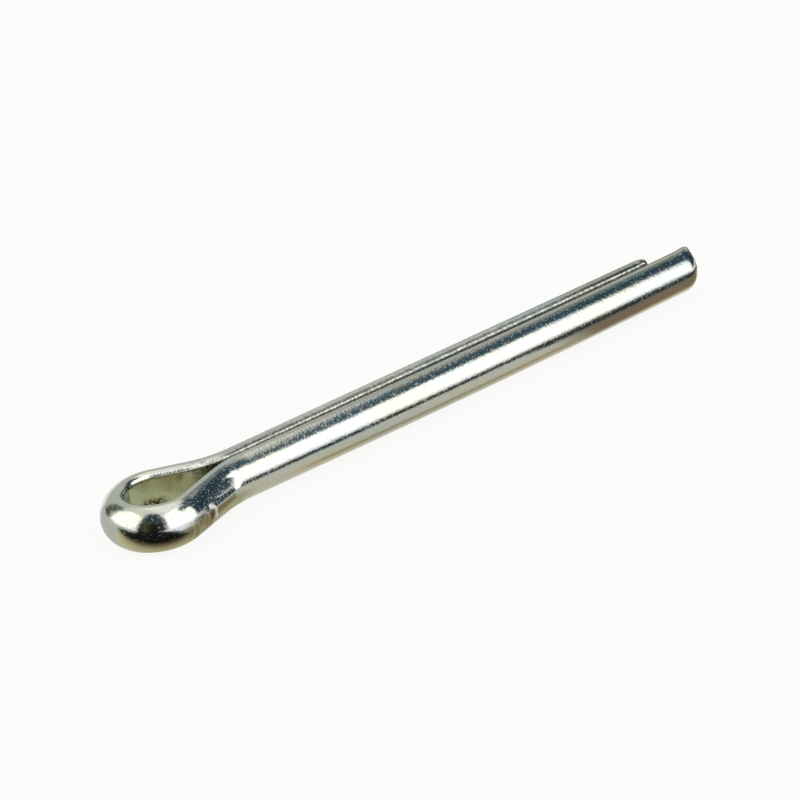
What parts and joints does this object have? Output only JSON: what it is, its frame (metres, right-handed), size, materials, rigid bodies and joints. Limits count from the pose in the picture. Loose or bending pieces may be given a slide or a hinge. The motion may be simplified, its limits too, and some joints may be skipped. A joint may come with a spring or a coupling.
{
  "type": "cotter pin",
  "caption": "Split cotter pin folded from half-round steel wire, with a teardrop eye and straight legs of unequal length.",
  "frame": {"origin": "on the shank's axis where the legs leave the neck and turn straight", "axes": "+X along the shank to the leg tips, with the eye at -X; +Z out of the plane of the fold; the longer leg at -Y"},
  "size_m": [0.0522, 0.0069, 0.0034],
  "materials": {
    "zinc_plated_steel": "bright zinc plating with a clear to faintly yellow passivation, drawn wire under it"
  },
  "bodies": {
    "root": {"cotter_pin": "zinc_plated_steel"}
  },
  "joints": []
}
